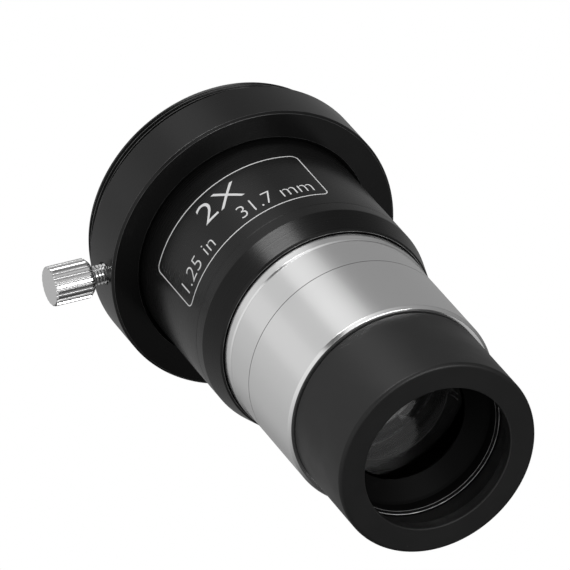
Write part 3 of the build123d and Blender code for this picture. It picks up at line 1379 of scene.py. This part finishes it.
@dataclass
class Label:
    """Printed frame and markings, wrapped round the barrel."""

    azimuth: float = -58.5
    span: float = 93.0
    rear: float = 17.2
    front: float = 29.0
    line: float = 0.17
    corner: float = 1.0
    thickness: float = 0.02
    slice_width: float = 0.35
    thinning: float = 0.07

    def build(self, shop: Workshop) -> None:
        """Build the frame line and both lines of text.

        Args:
            shop: Workshop that finishes them.
        """
        radius = node_box("main_barrel")[1].x
        width = math.radians(self.span) * radius
        shop.finish(
            "label_frame", self._wrap(self._frame(width), radius), Finishes.INK, "body_tube",
            weighted=False,
        )
        lines = (
            ("label_power", "2X", 4.5, 2.15, None),
            ("label_size", "1.25 in     31.7 mm", 3.1, -3.1, 0.88 * width),
        )
        for name, text, height, middle, fit in lines:
            shape = self._wrap(self._text(text, height, middle, fit), radius)
            shop.finish(name, shape, Finishes.INK, "body_tube", weighted=False)

    def _frame(self, width: float) -> BMesh:
        """Draw the frame line flat, as a thin strip round a rectangle with round corners.

        Args:
            width: Length of the frame along the barrel's girth.

        Returns:
            The flat strip, in metres.
        """
        shape = bmesh.new()
        bmesh.ops.create_grid(shape, x_segments=1, y_segments=1, size=0.5)
        size = Matrix.Diagonal((width * MM, (self.front - self.rear) * MM, 1, 1))
        bmesh.ops.transform(shape, matrix=size, verts=shape.verts)
        bmesh.ops.bevel(
            shape,
            geom=list(shape.verts),
            offset=self.corner * MM,
            offset_type="OFFSET",
            segments=8,
            profile=0.5,
            affect="VERTICES",
            material=-1,
        )
        inner = list(shape.faces)
        bmesh.ops.inset_region(
            shape, faces=inner, thickness=self.line * MM, use_boundary=True, use_even_offset=True
        )
        bmesh.ops.delete(shape, geom=inner, context="FACES")
        return shape

    def _text(self, text: str, height: float, middle: float, fit: float | None) -> BMesh:
        """Draw one line of text flat and centred.

        Args:
            text: The words.
            height: Height of the figures.
            middle: Height of the line's middle above the label's own middle.
            fit: Width to stretch the line to, or None to leave it.

        Returns:
            The flat text, in metres.
        """
        curve = bpy.data.curves.new(text, "FONT")
        curve.body, curve.align_x, curve.align_y = text, "CENTER", "CENTER"
        curve.size = height / 0.72 * MM
        curve.offset = -self.thinning * MM
        carrier = bpy.data.objects.new(text, curve)
        bpy.context.scene.collection.objects.link(carrier)
        made = bpy.data.meshes.new_from_object(carrier.evaluated_get(bpy.context.evaluated_depsgraph_get()))
        bpy.data.objects.remove(carrier)
        shape = bmesh.new()
        shape.from_mesh(made)
        bmesh.ops.remove_doubles(shape, verts=shape.verts, dist=MERGE_DISTANCE)
        xs = [v.co.x for v in shape.verts]
        ys = [v.co.y for v in shape.verts]
        stretch = fit * MM / (max(xs) - min(xs)) if fit else 1.0
        centre = Vector(((max(xs) + min(xs)) / 2, (max(ys) + min(ys)) / 2, 0))
        place = Matrix.Translation((0, middle * MM, 0)) @ Matrix.Diagonal((stretch, 1, 1, 1))
        bmesh.ops.transform(shape, matrix=place @ Matrix.Translation(-centre), verts=shape.verts)
        return shape

    def _wrap(self, shape: BMesh, radius: float) -> BMesh:
        """Give a flat drawing its thickness and bend it round the barrel.

        Args:
            shape: The drawing, with the reading direction along X.
            radius: Radius of the barrel.

        Returns:
            The closed, bent shape.
        """
        reach = max(abs(v.co.x) for v in shape.verts)
        cuts = int(2 * reach / (self.slice_width * MM))
        for index in range(1, cuts):
            bmesh.ops.bisect_plane(
                shape,
                geom=[*shape.verts, *shape.edges, *shape.faces],
                dist=1e-8,
                plane_co=(-reach + 2 * reach * index / cuts, 0, 0),
                plane_no=(1, 0, 0),
            )
        base = list(shape.faces)
        raised = bmesh.ops.extrude_face_region(shape, geom=base, use_keep_orig=True)["geom"]
        for vertex in (g for g in raised if isinstance(g, BMVert)):
            vertex.co.z += self.thickness * MM
        middle = (self.rear + self.front) / 2 * MM
        ground = radius * MM + 0.001 * MM
        for vertex in shape.verts:
            angle = math.radians(self.azimuth) - vertex.co.x / ground
            out = ground + vertex.co.z
            vertex.co = (out * math.cos(angle), out * math.sin(angle), middle - vertex.co.y)
        return close_up(shape)


# ---------------------------------------------------------------------------------------------
# Studio


@dataclass(frozen=True)
class Softbox:
    """Area light that faces the lens from a direction, with its angular size and its radiance."""

    name: str
    azimuth: float
    elevation: float
    width: float
    height: float
    radiance: float
    distance: float = 0.6
    outline: str = "RECTANGLE"

    def build(self, target: Vector) -> None:
        """Set the light up.

        Args:
            target: Point that it faces, in metres.
        """
        data = bpy.data.lights.new(self.name, "AREA")
        data.shape = self.outline
        data.size = 2 * self.distance * math.tan(math.radians(self.width / 2))
        data.size_y = 2 * self.distance * math.tan(math.radians(self.height / 2))
        data.energy = self.radiance * math.pi * data.size * data.size_y
        lamp = bpy.data.objects.new(self.name, data)
        turn, rise = math.radians(self.azimuth), math.radians(self.elevation)
        out = Vector((math.cos(turn) * math.cos(rise), math.sin(turn) * math.cos(rise), math.sin(rise)))
        lamp.location = target + out * self.distance
        lamp.rotation_mode = "QUATERNION"
        lamp.rotation_quaternion = out.to_track_quat("Z", "Y")
        lamp.visible_camera = False
        bpy.context.scene.collection.objects.link(lamp)


@dataclass
class Studio:
    """White table, soft surroundings, softboxes and camera."""

    camera_azimuth: float = 33.66
    camera_elevation: float = 51.43
    camera_roll: float = 138.75
    camera_distance: float = 1276.0
    camera_offset: tuple[float, float] = (-5.72, 6.435)
    aim_height: float = 37.0
    focal_length: float = 568.4
    table_half: float = 3.0
    low_ring: tuple[tuple[float, float], ...] = (
        (-180, 0.31), (-117, 0.31), (-107, 0.38), (-98, 0.62), (-87, 0.78), (-76, 0.84), (-66, 0.80),
        (-58, 0.60), (-38, 0.62), (-28, 0.72), (-7, 0.72), (3, 0.60), (23, 0.55), (43, 0.49), (63, 0.455),
        (83, 0.35), (93, 0.31), (180, 0.31),
    )
    middle_ring: tuple[tuple[float, float], ...] = (
        (-180, 0.2), (-165, 0.1), (-130, 0.08), (-110, 0.15), (-90, 0.35), (-60, 0.4), (0, 0.48), (50, 0.45),
        (75, 0.2), (95, 0.1), (180, 0.2),
    )
    high_ring: tuple[tuple[float, float], ...] = (
        (-180, 0.25), (-150, 0.28), (-125, 0.34), (-108, 0.5), (-98, 0.75), (-90, 1.0), (-70, 1.1),
        (-66, 0.12), (-47, 0.12),
        (-43, 0.9), (0, 0.8), (50, 0.35), (80, 0.05), (150, 0.05), (180, 0.25),
    )
    ring_blends: tuple[tuple[float, float], ...] = ((-0.68, -0.52), (-0.3, -0.1))
    softboxes: tuple[Softbox, ...] = (
        Softbox("overhead softbox", -74, -21, 27, 15, 9.5),
        Softbox("high softbox", -122, 61, 26, 18, 9.0),
        Softbox("wide lens glint", 134, 53, 15, 15, 0.4, outline="ELLIPSE"),
        Softbox("lens glint", 134, 53, 12, 12, 0.4, outline="ELLIPSE"),
        Softbox("narrow lens glint", 134, 53, 9, 9, 0.5, outline="ELLIPSE"),
        Softbox("core lens glint", 134, 53, 6, 6, 0.5, outline="ELLIPSE"),
    )

    def build(self) -> None:
        """Build the studio."""
        self._build_camera()
        self._build_surroundings()
        self._build_table()
        for light in self.softboxes:
            light.build(Vector((0, 0, self.aim_height * MM)))
        bpy.context.scene.view_settings.view_transform = "Standard"

    def _build_camera(self) -> None:
        """Make the camera and set it as the scene's."""
        turn, rise, roll = (
            math.radians(a) for a in (self.camera_azimuth, self.camera_elevation, self.camera_roll)
        )
        back = Vector((math.sin(turn) * math.cos(rise), -math.cos(turn) * math.cos(rise), math.sin(rise)))
        level = Vector((math.cos(turn), math.sin(turn), 0))
        above = back.cross(level)
        right = level * math.cos(roll) + above * math.sin(roll)
        up = above * math.cos(roll) - level * math.sin(roll)
        place = Vector((0, 0, self.aim_height)) + back * self.camera_distance
        place += right * self.camera_offset[0] + up * self.camera_offset[1]
        data = bpy.data.cameras.new("camera")
        data.lens, data.sensor_width = self.focal_length, 36.0
        data.clip_start, data.clip_end = 0.05, 20.0
        camera = bpy.data.objects.new("camera", data)
        camera.matrix_world = Matrix.Translation(place * MM) @ Matrix((right, up, back)).transposed().to_4x4()
        bpy.context.scene.collection.objects.link(camera)
        bpy.context.scene.camera = camera

    def _build_surroundings(self) -> None:
        """Make the surroundings: white behind the lens, and a soft tent of greys that it reflects."""
        world = bpy.data.worlds.new("light tent")
        bpy.context.scene.world = world
        world.use_nodes = True
        tree = world.node_tree
        tree.nodes.clear()
        split = tree.nodes.new("ShaderNodeSeparateXYZ")
        tree.links.new(tree.nodes.new("ShaderNodeTexCoord").outputs["Generated"], split.inputs[0])
        turn = Effects._math(tree, "ARCTAN2", split.outputs["Y"], split.outputs["X"])
        share = Effects._math(tree, "ADD", Effects._math(tree, "DIVIDE", turn, 2 * math.pi), 0.5)
        level = self._ring_level(tree, share, self.low_ring)
        for ring, (start, end) in zip((self.middle_ring, self.high_ring), self.ring_blends):
            fade = tree.nodes.new("ShaderNodeMapRange")
            fade.interpolation_type = "SMOOTHSTEP"
            fade.inputs["From Min"].default_value = start
            fade.inputs["From Max"].default_value = end
            tree.links.new(split.outputs["Z"], fade.inputs["Value"])
            blend = tree.nodes.new("ShaderNodeMix")
            blend.data_type = "RGBA"
            tree.links.new(fade.outputs[0], blend.inputs[0])
            tree.links.new(level, blend.inputs[6])
            tree.links.new(self._ring_level(tree, share, ring), blend.inputs[7])
            level = blend.outputs[2]
        tent = tree.nodes.new("ShaderNodeBackground")
        tree.links.new(level, tent.inputs[0])
        white = tree.nodes.new("ShaderNodeBackground")
        white.inputs[0].default_value = (1, 1, 1, 1)
        self._choose_for_camera(tree, tent, white, tree.nodes.new("ShaderNodeOutputWorld"))

    @staticmethod
    def _ring_level(
        tree: bpy.types.NodeTree, share: bpy.types.NodeSocket, ring: Sequence[tuple[float, float]]
    ) -> bpy.types.NodeSocket:
        """Add the greys of one ring of the tent.

        Args:
            tree: The tent's nodes.
            share: Place round the ring, from 0 to 1.
            ring: Pairs of an azimuth in degrees and a grey, in order.

        Returns:
            The ring's grey at that place.
        """
        node = tree.nodes.new("ShaderNodeValToRGB")
        tree.links.new(share, node.inputs[0])
        elements = node.color_ramp.elements
        for azimuth, _ in ring[1:-1]:
            elements.new(azimuth / 360 + 0.5)
        for element, (azimuth, level) in zip(elements, ring):
            element.position = azimuth / 360 + 0.5
            element.color = (level, level, level, 1)
        return node.outputs[0]

    @staticmethod
    def _choose_for_camera(
        tree: bpy.types.NodeTree, other: bpy.types.Node, seen: bpy.types.Node, output: bpy.types.Node
    ) -> None:
        """Show one shader to the camera and another to every other ray.

        Args:
            tree: Tree that holds them.
            other: Shader for the other rays.
            seen: Shader for the camera.
            output: The tree's output.
        """
        choose = tree.nodes.new("ShaderNodeMixShader")
        path = tree.nodes.new("ShaderNodeLightPath")
        tree.links.new(path.outputs["Is Camera Ray"], choose.inputs[0])
        tree.links.new(other.outputs[0], choose.inputs[1])
        tree.links.new(seen.outputs[0], choose.inputs[2])
        tree.links.new(choose.outputs[0], output.inputs[0])

    def _build_table(self) -> None:
        """Make the white table that the lens stands on, which lets light through from below."""
        shape = bmesh.new()
        bmesh.ops.create_grid(shape, x_segments=2, y_segments=2, size=self.table_half)
        bmesh.ops.translate(shape, vec=(0, 0, -0.03 * MM), verts=shape.verts)
        table = new_object("table", shape)
        paint = bpy.data.materials.new("white table")
        paint.use_nodes = True
        tree = paint.node_tree
        tree.nodes.remove(tree.nodes["Principled BSDF"])
        glow = tree.nodes.new("ShaderNodeEmission")
        clear = tree.nodes.new("ShaderNodeBsdfTransparent")
        self._choose_for_camera(tree, clear, glow, tree.nodes["Material Output"])
        table.data.materials.append(paint)


def main() -> None:
    """Build the studio and every sub-assembly in order."""
    logging.basicConfig(level=logging.INFO, format="%(name)s: %(message)s")
    Studio().build()
    shop = Workshop()
    for part in (EyepieceCollar(), MainBarrel(), Nosepiece(), LensCell(), Thumbscrew(), Label()):
        part.build(shop)


if __name__ == "__main__":
    main()
